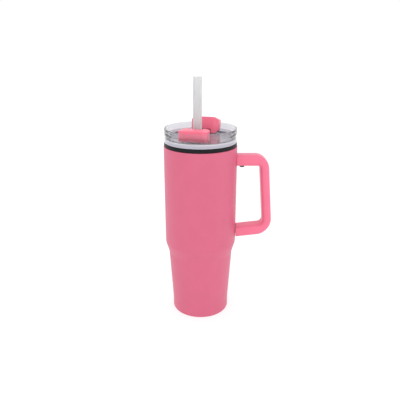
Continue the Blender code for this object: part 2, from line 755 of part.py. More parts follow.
def heel_tools(name, axes):
    """Half barrel around the pin, and an apron on each side of the straw's gap."""
    barrel = cross_cylinder(name + "_barrel_tool", HEEL_RADIUS, HEEL_HALF_WIDTH, parent=axes, segments=32)
    far = 25.0 * MM
    front_low = (-far, -far, -far)
    cut(barrel, box(name + "_barrel_front_tool", front_low, (far, -HEEL_BACK, far), parent=axes))
    tools = [barrel]
    outline = [
        (0.0, FLAP_TOP - FLAP_PLATE / 2),
        (NOTCH_LOW_EDGE[0], FLAP_TOP - FLAP_PLATE / 2),
        (APRON_EDGE[0], APRON_EDGE[1] + 0.5 * MM),
        (APRON_EDGE[0] + 0.3 * MM, APRON_BOTTOM),
        (0.0, APRON_BOTTOM),
    ]
    for hand, sign in (("left", -1), ("right", 1)):
        across = sorted((sign * APRON_INNER, sign * APRON_OUTER))
        tools.append(prism(f"{name}_{hand}_apron_tool", outline, *across, "YZ", parent=axes))
    return tools


def flap_slope_tools(name, axes):
    """Wedges above the top plate that leave it flat in the middle and lower at both sides."""
    tools = []
    far = 25.0 * MM
    width = FLAP_HALF_WIDTH - FLAP_FLAT_HALF_WIDTH
    for hand, sign in (("left", -1), ("right", 1)):
        inner = sign * FLAP_FLAT_HALF_WIDTH
        outer = sign * (FLAP_HALF_WIDTH + width)
        low = FLAP_TOP - 2 * FLAP_SIDE_DROP
        outline = [(inner, FLAP_TOP), (outer, low), (outer, far), (inner, far)]
        wedge = prism(f"{name}_{hand}_slope_tool", outline, -far, far, parent=axes)
        wedge.data.transform(Matrix.Rotation(math.pi / 2, 4, "X"))
        tools.append(wedge)
    return tools


def flap(name, axes):
    """Pink cover: a top plate with side cheeks and a deep front lip, hollow underneath."""
    made = prism(name, flap_side_profile(), -FLAP_HALF_WIDTH, FLAP_HALF_WIDTH, "YZ", PINK_PLASTIC, axes)
    inner = FLAP_HALF_WIDTH - FLAP_WALL
    front = FLAP_REACH - FLAP_UNDERCUT - FLAP_FRONT_WALL
    low = (-inner, -front, -FLAP_DEPTH - 5 * MM)
    high = (inner, FLAP_TAIL + 5 * MM, FLAP_TOP - FLAP_PLATE)
    hollow = box(name + "_hollow_tool", low, high, parent=axes)
    bore = cross_cylinder(name + "_bore_tool", PIN_RADIUS + TOUCH, 25.0 * MM, parent=axes)
    cut(made, hollow)
    join(made, *heel_tools(name, axes))
    cut(made, *flap_slope_tools(name, axes), *flap_corner_tools(name, axes), notch_tool(name, axes), bore)
    cross_cylinder(name.replace("flap", "hinge_pin"), PIN_RADIUS, PIN_HALF_LENGTH, BARE_STEEL, axes)
    return made


def stopper(name, axes):
    """Silicone block under a flap: a flat pad that meets the spout, and a nub that enters it."""
    offset = -(OPENING_OFFSET - HINGE_OFFSET)
    top = FLAP_TOP - FLAP_PLATE - TOUCH
    seat = SPOUT_TOP - HINGE_HEIGHT + TOUCH
    pad = shift(round_rectangle(*STOPPER_HALF, 3.0 * MM, 3), 0.0, offset)
    made = prism(name, pad, seat, top, finish=CLEAR_SILICONE, parent=axes)
    nub = shift(round_rectangle(*STOPPER_NUB_HALF, 2.0 * MM, 3), 0.0, offset + 0.5 * MM)
    join(made, prism(name + "_nub_tool", nub, seat - STOPPER_NUB_DEPTH, seat + 1 * MM, parent=axes))
    return made


def build():
    outer_shell()
    inner_liner()
    base_pieces()
    handle()
    lid_body()
    lid_seals()
    straw()
    for name, axes in zip(("front", "rear"), HINGES):
        flap(name + "_flap", axes)
        stopper(name + "_stopper", axes)


clear_scene()
PARTS = collection("insulated_tumbler")
CUTTERS = collection("cutters")
PINK_COAT = material("pink_powder_coat", (0.73, 0.17, 0.27), 0.42)
PINK_PLASTIC = material("pink_plastic", (0.92, 0.22, 0.33), 0.35)
BARE_STEEL = material("bare_steel", (0.62, 0.61, 0.60), 0.28, metallic=1.0)
DARK_STEEL = material("dark_steel", (0.05, 0.05, 0.055), 0.35, metallic=1.0)
SOLDER = material("solder", (0.45, 0.45, 0.43), 0.5, metallic=1.0)
BLACK_SILICONE = material("black_silicone", (0.015, 0.015, 0.017), 0.5)
CLEAR_SILICONE = material("clear_silicone", (0.80, 0.80, 0.82), 0.45, alpha=0.7)
CLEAR_PLASTIC = material("clear_plastic", (0.86, 0.86, 0.90), 0.06, alpha=0.3)
FROSTED_PLASTIC = material("frosted_plastic", (0.80, 0.80, 0.82), 0.4, alpha=0.6)
LID_AXES = add_empty("lid_axes", (0.0, 0.0, 0.0), (0.0, 0.0, LID_YAW))
FRONT_HINGE = add_empty("front_hinge", (0.0, -HINGE_OFFSET, HINGE_HEIGHT), parent=LID_AXES)
REAR_HINGE = add_empty(
    "rear_hinge", (0.0, HINGE_OFFSET, HINGE_HEIGHT), (-REAR_FLAP_ANGLE, 0.0, math.pi), LID_AXES
)
HINGES = (FRONT_HINGE, REAR_HINGE)
build()
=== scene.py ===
"""Looks of the insulated tumbler: smooth pieces, materials, studio and camera around the CAD frame."""

import json
import math

import bmesh
import bpy
from mathutils import Matrix, Vector


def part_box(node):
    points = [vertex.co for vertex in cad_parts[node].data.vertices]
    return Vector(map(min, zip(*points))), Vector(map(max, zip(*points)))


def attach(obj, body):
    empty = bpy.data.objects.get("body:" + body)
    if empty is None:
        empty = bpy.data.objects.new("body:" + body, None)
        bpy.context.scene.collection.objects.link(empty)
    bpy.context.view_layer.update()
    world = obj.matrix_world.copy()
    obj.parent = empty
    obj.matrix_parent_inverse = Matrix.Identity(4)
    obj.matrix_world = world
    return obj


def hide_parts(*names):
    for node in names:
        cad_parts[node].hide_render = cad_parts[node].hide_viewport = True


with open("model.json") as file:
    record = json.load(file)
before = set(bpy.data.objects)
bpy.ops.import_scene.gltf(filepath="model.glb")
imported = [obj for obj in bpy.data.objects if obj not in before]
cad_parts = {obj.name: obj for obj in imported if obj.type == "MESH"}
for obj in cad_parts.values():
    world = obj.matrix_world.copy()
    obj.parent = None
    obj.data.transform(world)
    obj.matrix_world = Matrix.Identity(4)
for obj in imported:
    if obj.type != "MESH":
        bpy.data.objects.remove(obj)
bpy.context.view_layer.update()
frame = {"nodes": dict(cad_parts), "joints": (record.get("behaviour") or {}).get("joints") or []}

MM = 0.001
GAP = 0.3 * MM
ON_AXIS = 0.0001 * MM
JOINTS = {joint["name"]: joint for joint in frame["joints"]}


# ---------------------------------------------------------------- geometry helpers

def top(node):
    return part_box(node)[1].z


def bottom(node):
    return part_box(node)[0].z


def reach(node):
    """Largest radius of a turned node that stands on the Z axis."""
    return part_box(node)[1].x


def middle(node):
    low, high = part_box(node)
    return (low + high) / 2


def solid(name, shape):
    """Makes an object from a bmesh, with its faces turned outward, and frees the bmesh."""
    bmesh.ops.recalc_face_normals(shape, faces=shape.faces)
    mesh = bpy.data.meshes.new(name)
    shape.to_mesh(mesh)
    shape.free()
    made = bpy.data.objects.new(name, mesh)
    bpy.context.scene.collection.objects.link(made)
    return made


def soften(mesh, degrees=32.0):
    mesh.shade_smooth()
    mesh.set_sharp_from_angle(angle=math.radians(degrees))


def arc(centre, radius, start, end, count):
    """Points on a circle, from one angle to another in degrees, both ends included."""
    angles = [math.radians(start + (end - start) * i / count) for i in range(count + 1)]
    return [(centre[0] + radius * math.cos(a), centre[1] + radius * math.sin(a)) for a in angles]


def rounded(corners, closed=True, steps=6):
    """Rounds a 2-D line: corners are (a, b) or (a, b, radius)."""
    line = []
    count = len(corners)
    for i, corner in enumerate(corners):
        here = Vector(corner[:2])
        radius = corner[2] if len(corner) > 2 else 0.0
        at_end = not closed and i in (0, count - 1)
        if radius <= 0.0 or at_end:
            line.append(here)
            continue
        before = (Vector(corners[i - 1][:2]) - here).normalized()
        after = (Vector(corners[(i + 1) % count][:2]) - here).normalized()
        half = before.angle(after) / 2
        tangent = radius / math.tan(half)
        centre = here + (before + after).normalized() * (radius / math.sin(half))
        first = here + before * tangent - centre
        turn = math.pi - 2 * half
        if before.x * after.y - before.y * after.x > 0:
            turn = -turn
        for k in range(steps + 1):
            line.append(centre + Matrix.Rotation(turn * k / steps, 2) @ first)
    return [(p.x, p.y) for p in line]


def turned(name, profile, segments=160, closed=True, place=(0.0, 0.0)):
    """A turned piece from (radius, height) points. Points on the axis close it with a fan."""
    shape = bmesh.new()
    rings = []
    for radius, height in profile:
        if radius < ON_AXIS:
            rings.append([shape.verts.new((place[0], place[1], height))])
            continue
        ring = []
        for k in range(segments):
            angle = math.tau * k / segments
            across = place[0] + radius * math.cos(angle)
            along = place[1] + radius * math.sin(angle)
            ring.append(shape.verts.new((across, along, height)))
        rings.append(ring)
    pairs = list(zip(rings, rings[1:]))
    if closed:
        pairs.append((rings[-1], rings[0]))
    for first, second in pairs:
        for k in range(segments):
            j = (k + 1) % segments
            loop = [first[k % len(first)], first[j % len(first)]]
            loop += [second[j % len(second)], second[k % len(second)]]
            loop = list(dict.fromkeys(loop))
            if len(loop) > 2:
                shape.faces.new(loop)
    made = solid(name, shape)
    soften(made.data)
    return made


def prism(name, outline, low, high, plane="XY"):
    """A flat outline drawn out along Z, or along X where its points lie in the YZ plane."""
    shape = bmesh.new()
    rows = []
    for level in (low, high):
        if plane == "XY":
            rows.append([shape.verts.new((a, b, level)) for a, b in outline])
        else:
            rows.append([shape.verts.new((level, a, b)) for a, b in outline])
    count = len(outline)
    shape.faces.new(rows[0])
    shape.faces.new(rows[1])
    for i in range(count):
        j = (i + 1) % count
        shape.faces.new((rows[0][i], rows[0][j], rows[1][j], rows[1][i]))
    return solid(name, shape)


def cylinder(name, radius, low, high, segments, place=(0.0, 0.0)):
    """Upright cylinder, used as a tool."""
    profile = [(0.0, low), (radius, low), (radius, high), (0.0, high)]
    return turned(name, profile, segments, closed=False, place=place)


def pair(name, outline, inner, outer):
    """Two prisms of one YZ outline, drawn out along X at the same distance on either side."""
    made = []
    for hand in (-1, 1):
        across = sorted((hand * inner, hand * outer))
        made.append(prism(f"{name}_{hand}_tool", outline, *across, "YZ"))
    return made


def block(name, low, high):
    outline = [(low[0], low[1]), (high[0], low[1]), (high[0], high[1]), (low[0], high[1])]
    return prism(name, outline, low[2], high[2])


def rod(name, radius, half_length, segments=48, chamfer=0.15 * MM):
    """A pin along X, centred on the origin, with chamfered ends."""
    profile = [
        (0.0, half_length), (radius - chamfer, half_length), (radius, half_length - chamfer),
        (radius, chamfer - half_length), (radius - chamfer, -half_length), (0.0, -half_length),
    ]
    made = turned(name, profile, segments, closed=False)
    made.data.transform(Matrix.Rotation(math.pi / 2, 4, "Y"))
    return made


def rectangle(half_x, half_y, radius, along=0.0, steps=8):
    """Rounded rectangle, centred on X = 0 and on Y = along."""
    corners = [
        (half_x, half_y + along, radius), (-half_x, half_y + along, radius),
        (-half_x, along - half_y, radius), (half_x, along - half_y, radius),
    ]
    return rounded(corners, steps=steps)


def boolean(target, operation, *tools):
    for tool in tools:
        step = target.modifiers.new(tool.name, "BOOLEAN")
        step.operation = operation
        step.solver = "EXACT"
        step.object = tool


def bevel(target, width, segments=3, degrees=28.0):
    step = target.modifiers.new("Edges", "BEVEL")
    step.width = width
    step.segments = segments
    step.limit_method = "ANGLE"
    step.angle_limit = math.radians(degrees)


def settle(target, degrees=32.0):
    """Applies a piece's modifiers and removes the tools that shaped it."""
    tools = [step.object for step in target.modifiers if step.type == "BOOLEAN"]
    bpy.context.view_layer.update()
    graph = bpy.context.evaluated_depsgraph_get()
    mesh = bpy.data.meshes.new_from_object(target.evaluated_get(graph))
    target.modifiers.clear()
    target.data = mesh
    soften(mesh, degrees)
    for tool in tools:
        bpy.data.objects.remove(tool)


def dress(piece, finish, body, node):
    """Gives a piece its material and its body, and hides the CAD node that it stands for."""
    piece.data.materials.clear()
    piece.data.materials.append(finish)
    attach(piece, body)
    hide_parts(node)


# ---------------------------------------------------------------- materials

NOISE_LOW = 0.3
NOISE_HIGH = 0.7
LINE_SHADE = 0.86


class Nodes:
    """Builds one material around a Principled shader."""

    def __init__(self, name, **values):
        self.material = bpy.data.materials.new(name)
        self.material.use_nodes = True
        self.tree = self.material.node_tree
        self.shader = self.tree.nodes["Principled BSDF"]
        self.place = self.tree.nodes.new("ShaderNodeTexCoord").outputs["Object"]
        for socket, value in values.items():
            self.shader.inputs[socket.replace("_", " ")].default_value = value

    def noise(self, scale, detail=2.0, stretch=(1.0, 1.0, 1.0), roughness=0.5):
        mapping = self.tree.nodes.new("ShaderNodeMapping")
        mapping.inputs["Scale"].default_value = stretch
        texture = self.tree.nodes.new("ShaderNodeTexNoise")
        texture.inputs["Scale"].default_value = scale
        texture.inputs["Detail"].default_value = detail
        texture.inputs["Roughness"].default_value = roughness
        self.tree.links.new(self.place, mapping.inputs["Vector"])
        self.tree.links.new(mapping.outputs["Vector"], texture.inputs["Vector"])
        return texture.outputs["Fac"]

    def ramp(self, value, low, high, start, end):
        """Maps a value between two levels onto another range."""
        step = self.tree.nodes.new("ShaderNodeMapRange")
        for socket, number in (("From Min", low), ("From Max", high), ("To Min", start), ("To Max", end)):
            step.inputs[socket].default_value = number
        self.tree.links.new(value, step.inputs["Value"])
        return step.outputs["Result"]

    def colours(self, value, first, second):
        mix = self.tree.nodes.new("ShaderNodeMix")
        mix.data_type = "RGBA"
        for socket, colour in (("A", first), ("B", second)):
            if isinstance(colour, bpy.types.NodeSocket):
                self.tree.links.new(colour, mix.inputs[socket])
            else:
                mix.inputs[socket].default_value = (*colour, 1.0)
        self.tree.links.new(value, mix.inputs["Factor"])
        self.tree.links.new(mix.outputs["Result"], self.shader.inputs["Base Color"])
        return mix.outputs["Result"]

    def mottle(self, scale, detail, light, dark):
        """Base colour that wanders between two close tones."""
        patches = self.ramp(self.noise(scale, detail), NOISE_LOW, NOISE_HIGH, 0.0, 1.0)
        self.colours(patches, light, dark)

    def roughness(self, value, low, high):
        spread = self.ramp(value, NOISE_LOW, NOISE_HIGH, low, high)
        self.tree.links.new(spread, self.shader.inputs["Roughness"])

    def combine(self, operation, first, second):
        step = self.tree.nodes.new("ShaderNodeMath")
        step.operation = operation
        self.tree.links.new(first, step.inputs[0])
        self.tree.links.new(second, step.inputs[1])
        return step.outputs["Value"]

    def positions(self):
        """Distance from the Z axis, and the Y and Z coordinates."""
        axes = self.tree.nodes.new("ShaderNodeSeparateXYZ")
        self.tree.links.new(self.place, axes.inputs["Vector"])
        flat = self.tree.nodes.new("ShaderNodeVectorMath")
        flat.operation = "MULTIPLY"
        flat.inputs[1].default_value = (1.0, 1.0, 0.0)
        self.tree.links.new(self.place, flat.inputs[0])
        radius = self.tree.nodes.new("ShaderNodeVectorMath")
        radius.operation = "LENGTH"
        self.tree.links.new(flat.outputs["Vector"], radius.inputs[0])
        return radius.outputs["Value"], axes.outputs["Y"], axes.outputs["Z"]

    def relief(self, height, distance, strength):
        """Adds a bump on top of the ones already there."""
        bump = self.tree.nodes.new("ShaderNodeBump")
        bump.inputs["Distance"].default_value = distance
        bump.inputs["Strength"].default_value = strength
        normal = self.shader.inputs["Normal"]
        if normal.is_linked:
            self.tree.links.new(normal.links[0].from_socket, bump.inputs["Normal"])
        self.tree.links.new(height, bump.inputs["Height"])
        self.tree.links.new(bump.outputs["Normal"], normal)


def powder_coat(name, light, dark):
    made = Nodes(name, IOR=1.5)
    made.mottle(45.0, 3.0, light, dark)
    made.roughness(made.noise(900.0, 2.0), 0.38, 0.50)
    made.relief(made.noise(1300.0, 2.0), 0.05 * MM, 0.30)
    made.relief(made.noise(260.0, 1.0), 0.08 * MM, 0.12)
    return made.material


def moulded(name, light, dark, low, high, grain=0.16):
    made = Nodes(name, IOR=1.49)
    made.mottle(60.0, 2.0, light, dark)
    made.roughness(made.noise(700.0, 2.0), low, high)
    made.relief(made.noise(1900.0, 1.0), 0.03 * MM, grain)
    made.relief(made.noise(55.0, 1.0), 0.25 * MM, 0.06)
    return made.material


def brushed(name, colour, low, high, stretch):
    """Steel with fine brushing lines across the direction in which the noise is squeezed."""
    made = Nodes(name, Metallic=1.0)
    lines = made.noise(1.0, 4.0, stretch, 0.7)
    made.colours(lines, [LINE_SHADE * c for c in colour], colour)
    made.roughness(lines, low, high)
    made.relief(lines, 0.02 * MM, 0.35)
    return made.material


def silicone(name, light, dark, low, high, **values):
    made = Nodes(name, IOR=1.42, **values)
    made.colours(made.ramp(made.noise(300.0, 3.0), 0.35, 0.75, 0.0, 1.0), dark, light)
    made.roughness(made.noise(500.0, 2.0), low, high)
    made.relief(made.noise(1500.0, 2.0), 0.03 * MM, 0.25)
    return made.material


def clear(name, light, dark, low, high, **values):
    made = Nodes(name, **values)
    made.mottle(40.0, 2.0, light, dark)
    made.roughness(made.noise(260.0, 3.0), low, high)
    made.relief(made.noise(90.0, 1.0), 0.12 * MM, 0.05)
    return made.material


def clear_lid_plastic():
    """Clear walls with painted shade, greyer below the floor and darker to the back, and a milky band around
    the skirt.
    """
    made = Nodes("clear_plastic", IOR=1.10, Coat_Weight=1.0, Coat_Roughness=0.04)
    radius, along, height = made.positions()
    outside = made.ramp(radius, 45.6 * MM, 46.4 * MM, 0.0, 1.0)
    below = made.ramp(height, 251.8 * MM, 253.0 * MM, 1.0, 0.0)
    band = made.combine("MULTIPLY", outside, below)
    milk = made.combine("ADD", made.ramp(below, 0.0, 1.0, 0.0, 0.2), made.ramp(band, 0.0, 1.0, 0.0, 0.45))
    made.tree.links.new(made.ramp(milk, 0.0, 1.0, 1.0, 0.0), made.shader.inputs["Transmission Weight"])
    # Painted shade: the wall tint darkens from the near side towards the back.
    back_painted_shade = made.ramp(along, -20.0 * MM, 15.0 * MM, 0.0, 1.0)
    wall = made.colours(back_painted_shade, (0.975, 0.97, 0.985), (0.72, 0.715, 0.76))
    # Painted shade: below the floor level the plastic is tinted a darker lavender grey.
    above_painted_floor_shade = made.ramp(height, 250.0 * MM, 253.5 * MM, 0.0, 1.0)
    made.colours(above_painted_floor_shade, (0.60, 0.58, 0.66), wall)
    made.roughness(made.noise(260.0, 3.0), 0.04, 0.09)
    made.relief(made.noise(90.0, 1.0), 0.12 * MM, 0.05)
    return made.material


PINK_COAT = powder_coat("pink_powder_coat", (0.640, 0.118, 0.208), (0.615, 0.110, 0.197))
PINK_PLASTIC = moulded("pink_plastic", (0.830, 0.165, 0.275), (0.810, 0.158, 0.264), 0.30, 0.40)
# Painted light: the flaps' pink is made lighter than the handle's to make up for the shade they sit in under
# the clear lid.
FLAP_PLASTIC_PAINTED_LIGHTER = moulded("pink_flap_plastic_painted_lighter", (0.930, 0.160, 0.262), (0.915, 0.154, 0.252), 0.28, 0.36, 0.10)
STEEL_IN = brushed("brushed_steel_bowl", (0.60, 0.59, 0.58), 0.24, 0.36, (18.0, 18.0, 2600.0))
STEEL_PLAIN = brushed("bare_steel", (0.62, 0.61, 0.60), 0.26, 0.38, (300.0, 2600.0, 300.0))
DARK_STEEL = brushed("dark_steel", (0.060, 0.060, 0.066), 0.30, 0.42, (400.0, 400.0, 1500.0))
SOLDER = brushed("solder", (0.46, 0.46, 0.44), 0.45, 0.60, (500.0, 500.0, 500.0))
BLACK_SILICONE = silicone(
    "black_silicone", (0.012, 0.013, 0.015), (0.007, 0.008, 0.009), 0.40, 0.52, Specular_IOR_Level=0.2,
)
MILKY_SILICONE = silicone(
    "clear_silicone", (0.80, 0.80, 0.83), (0.72, 0.72, 0.76), 0.30, 0.42, Transmission_Weight=0.6,
)
CLEAR_PLASTIC = clear_lid_plastic()
FROSTED_PLASTIC = clear(
    "frosted_plastic", (0.89, 0.89, 0.90), (0.86, 0.86, 0.87), 0.34, 0.46,
    IOR=1.40, Transmission_Weight=0.55,
)


# ---------------------------------------------------------------- steel body

SHELL_WALL = 1.0 * MM
SHELL_SLOPE_WALL = 1.05 * MM
SHELL_LIP_RADIUS = 47.9 * MM
SHELL_BULGE_HEIGHT = 206 * MM
SHELL_BULGE = 0.05 * MM
SHOULDER_HEIGHT = 103.2 * MM
SHOULDER_INSET = 0.55 * MM
WAIST_RADIUS = 44.85 * MM
WAIST_HEIGHT = 88.2 * MM
FOOT_RADIUS = 39.75 * MM
FOOT_HEIGHT = 15 * MM
BASE_RADIUS = 39.6 * MM
INSIDE_LIFT = 0.4 * MM
LINER_WALL = 0.9 * MM
LINER_RADIUS = 45.0 * MM
LINER_WAIST_RADIUS = 39.9 * MM
LINER_FOOT_RADIUS = 35.2 * MM
LINER_LIP_RADIUS = 47.6 * MM
LINER_SHELF_HEIGHT = 240.1 * MM
LINER_WAIST_HEIGHT = 88.5 * MM
LINER_SHOULDER_HEIGHT = 104.5 * MM
LINER_OUTSIDE_SHIFT = 0.5 * MM
LINER_BEND = 20 * MM
LINER_FLOOR_BEND = 6 * MM
PLATE_WALL = 0.9 * MM
PORT_RADIUS = 1.6 * MM
PAD_GROOVE_RADII = (31.0 * MM, 24.0 * MM, 17.0 * MM, 10.0 * MM)
PAD_GROOVE_DEPTH = 0.5 * MM


def body_shell():
    """Coated outer wall: straight barrel, soft shoulder, tapered foot and a small radius at the base."""
    radius = reach("outer_shell")
    high = top("outer_shell")
    low = bottom("outer_shell")
    outside = [
        (radius, high, 0.7 * MM),
        (radius - SHELL_BULGE, SHELL_BULGE_HEIGHT, 400 * MM),
        (radius - SHOULDER_INSET, SHOULDER_HEIGHT, 13 * MM),
        (WAIST_RADIUS, WAIST_HEIGHT, 12 * MM),
        (FOOT_RADIUS, FOOT_HEIGHT, 90 * MM),
        (BASE_RADIUS, low, 1.0 * MM),
    ]
    inside = [
        (BASE_RADIUS - SHELL_WALL, low, 0.3 * MM),
        (FOOT_RADIUS - SHELL_SLOPE_WALL, FOOT_HEIGHT, 90 * MM),
        (WAIST_RADIUS - SHELL_SLOPE_WALL, WAIST_HEIGHT + INSIDE_LIFT, 11 * MM),
        (radius - SHOULDER_INSET - SHELL_SLOPE_WALL, SHOULDER_HEIGHT + INSIDE_LIFT, 12 * MM),
        (radius - SHELL_WALL, SHELL_BULGE_HEIGHT),
        (radius - SHELL_WALL, high - 1.7 * MM, 0.5 * MM),
        (SHELL_LIP_RADIUS, high - 0.9 * MM, 0.2 * MM),
        (SHELL_LIP_RADIUS, high, 0.3 * MM),
    ]
    made = turned("body_shell", rounded(outside + inside, steps=12), 256)
    dress(made, PINK_COAT, "cup", "outer_shell")


def steel_bowl():
    """Bare steel liner with its thick drinking lip."""
    mouth = top("inner_liner")
    floor = bottom("inner_liner")
    inside = [
        (0.0, floor + LINER_WALL),
        (LINER_FOOT_RADIUS, floor + LINER_WALL, LINER_FLOOR_BEND),
        (LINER_WAIST_RADIUS, LINER_WAIST_HEIGHT, LINER_BEND),
        (LINER_RADIUS, LINER_SHOULDER_HEIGHT, LINER_BEND),
        (LINER_RADIUS, mouth, 0.8 * MM),
    ]
    outside = [
        (LINER_LIP_RADIUS, mouth, 0.8 * MM),
        (LINER_LIP_RADIUS, LINER_SHELF_HEIGHT, 0.3 * MM),
        (LINER_RADIUS + LINER_WALL, LINER_SHELF_HEIGHT - 1.6 * MM, 0.5 * MM),
        (LINER_RADIUS + LINER_WALL, LINER_SHOULDER_HEIGHT + LINER_OUTSIDE_SHIFT, LINER_BEND),
        (LINER_WAIST_RADIUS + LINER_WALL, LINER_WAIST_HEIGHT - LINER_OUTSIDE_SHIFT, LINER_BEND),
        (LINER_FOOT_RADIUS + LINER_WALL, floor, LINER_FLOOR_BEND),
        (0.0, floor),
    ]
    made = turned("steel_bowl", rounded(inside + outside, closed=False, steps=10), 192, closed=False)
    dress(made, STEEL_IN, "cup", "inner_liner")


def pressed_base():
    """Steel disc with a turned-down rim and a hole in the middle."""
    low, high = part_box("base_plate")
    rim = high.x
    plate = [
        (PORT_RADIUS, high.z), (rim, high.z, 0.9 * MM), (rim, low.z, 0.2 * MM),
        (rim - PLATE_WALL, low.z, 0.2 * MM), (rim - PLATE_WALL, high.z - PLATE_WALL, 0.3 * MM),
        (PORT_RADIUS, high.z - PLATE_WALL),
    ]
    made = turned("pressed_base", rounded(plate, steps=4), 128)
    dress(made, STEEL_PLAIN, "cup", "base_plate")


def anti_slip_pad():
    """Silicone disc with moulded grooves in its underside."""
    radius = reach("base_pad")
    thick = top("base_pad")
    profile = [(0.0, thick), (radius, thick, 0.4 * MM), (radius, 0.0, 0.5 * MM)]
    for groove in PAD_GROOVE_RADII:
        profile += [
            (groove + 0.8 * MM, 0.0, 0.15 * MM), (groove + 0.5 * MM, PAD_GROOVE_DEPTH, 0.15 * MM),
            (groove - 0.5 * MM, PAD_GROOVE_DEPTH, 0.15 * MM), (groove - 0.8 * MM, 0.0, 0.15 * MM),
        ]
    profile.append((0.0, 0.0))
    made = turned("anti_slip_pad", rounded(profile, closed=False, steps=3), 128, closed=False)
    dress(made, BLACK_SILICONE, "cup", "base_pad")


# ---------------------------------------------------------------- handle

HANDLE_ROOT_X = 42.0 * MM
HANDLE_TOP = 221.0 * MM
GRIP_TOP_X = 86.9 * MM
GRIP_BOTTOM_X = 93.9 * MM
GRIP_BOTTOM_HEIGHT = 122.1 * MM
LOWER_ARM_ROOT_HEIGHT = 116.1 * MM
HANDLE_HALF_WIDTH = 11.0 * MM
HANDLE_CORNER = 5.4 * MM
ARM_HEIGHT = 15.2 * MM
GRIP_THICKNESS = 12.4 * MM
HANDLE_STEP = 4 * MM
SADDLE_RADIUS = 50.3 * MM
SADDLE_SPAN = (80 * MM, 250 * MM)
BRACKET_ROOT_X = 40 * MM
SCREW_SHANK_RADIUS = 2.0 * MM
SCREW_HOLE_RADIUS = 2.3 * MM
SCREW_HEAD_RADIUS = 3.5 * MM
SCREW_HEAD_HEIGHT = 2.8 * MM
CROSS_HALF = (1.9 * MM, 0.45 * MM)
CROSS_DEPTH = 1.4 * MM


def handle_line():
    """Centre line of the handle in the XZ plane, with its two round bends."""
    corners = [
        (HANDLE_ROOT_X, HANDLE_TOP),
        (GRIP_TOP_X, HANDLE_TOP, 12 * MM),
        (GRIP_BOTTOM_X, GRIP_BOTTOM_HEIGHT, 15 * MM),
        (HANDLE_ROOT_X, LOWER_ARM_ROOT_HEIGHT),
    ]
    bends = [Vector(p) for p in rounded(corners, closed=False, steps=22)]
    line = []
    for a, b in zip(bends, bends[1:]):
        count = max(1, round((b - a).length / HANDLE_STEP))
        line += [a.lerp(b, i / count) for i in range(count)]
    return line + [bends[-1]]


def handle_form():
    """Rounded section swept along the centre line, deeper along the arms than along the grip."""
    line = handle_line()
    shape = bmesh.new()
    rows = []
    for i, point in enumerate(line):
        way = (line[min(i + 1, len(line) - 1)] - line[max(i - 1, 0)]).normalized()
        blend = abs(way.y)
        ease = blend * blend * (3 - 2 * blend)
        thick = ARM_HEIGHT + (GRIP_THICKNESS - ARM_HEIGHT) * ease
        section = rectangle(HANDLE_HALF_WIDTH, thick / 2, HANDLE_CORNER, steps=9)
        side = Vector((-way.y, way.x))
        rows.append([shape.verts.new((point.x + side.x * b, a, point.y + side.y * b)) for a, b in section])
    count = len(rows[0])
    for row, following in zip(rows, rows[1:]):
        for i in range(count):
            j = (i + 1) % count
            shape.faces.new((row[i], row[j], following[j], following[i]))
    shape.faces.new(rows[0])
    shape.faces.new(rows[-1])
    return solid("side_handle", shape)


def handle():
    """Moulded handle, fitted to the barrel, over its steel brackets, with holes for the screws."""
    made = handle_form()
    boolean(made, "DIFFERENCE", cylinder("barrel_tool", SADDLE_RADIUS, *SADDLE_SPAN, 256))
    for node in ("upper_bracket", "lower_bracket"):
        low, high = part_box(node)
        near = (BRACKET_ROOT_X, low.y - GAP, low.z - GAP)
        boolean(made, "DIFFERENCE", block(node + "_tool", near, high + Vector((GAP,) * 3)))
    for node in ("upper_screw", "lower_screw"):
        place = middle(node).xy
        hole = cylinder(node + "_tool", SCREW_HOLE_RADIUS, bottom(node), top(node) + GAP, 32, place)
        boolean(made, "DIFFERENCE", hole)
    low = bottom("lower_screw")
    place = middle("lower_screw").xy
    ceiling = low + SCREW_HEAD_HEIGHT + GAP
    recess = cylinder("recess_tool", SCREW_HEAD_RADIUS + GAP, low - 5 * MM, ceiling, 64, place)
    boolean(made, "DIFFERENCE", recess)
    settle(made)
    dress(made, PINK_PLASTIC, "cup", "handle_body")


def pan_head_screw(node):
    """Screw that enters an arm from below, with a cross recess in its domed head."""
    low = bottom(node)
    high = top(node)
    place = middle(node).xy
    seat = low + SCREW_HEAD_HEIGHT
    profile = rounded([
        (0.0, high), (SCREW_SHANK_RADIUS, high, 0.5 * MM), (SCREW_SHANK_RADIUS, seat),
        (SCREW_HEAD_RADIUS, seat, 0.2 * MM), (SCREW_HEAD_RADIUS, low + 0.1 * MM, 1.3 * MM), (0.0, low),
    ], closed=False, steps=6)
    made = turned(node + "_detail", profile, 48, closed=False, place=place)
    for half_x, half_y in (CROSS_HALF, CROSS_HALF[::-1]):
        near = (place.x - half_x, place.y - half_y, low - MM)
        far = (place.x + half_x, place.y + half_y, low + CROSS_DEPTH)
        boolean(made, "DIFFERENCE", block("slot_tool", near, far))
    settle(made)
    dress(made, DARK_STEEL, "cup", node)


# ---------------------------------------------------------------- lid

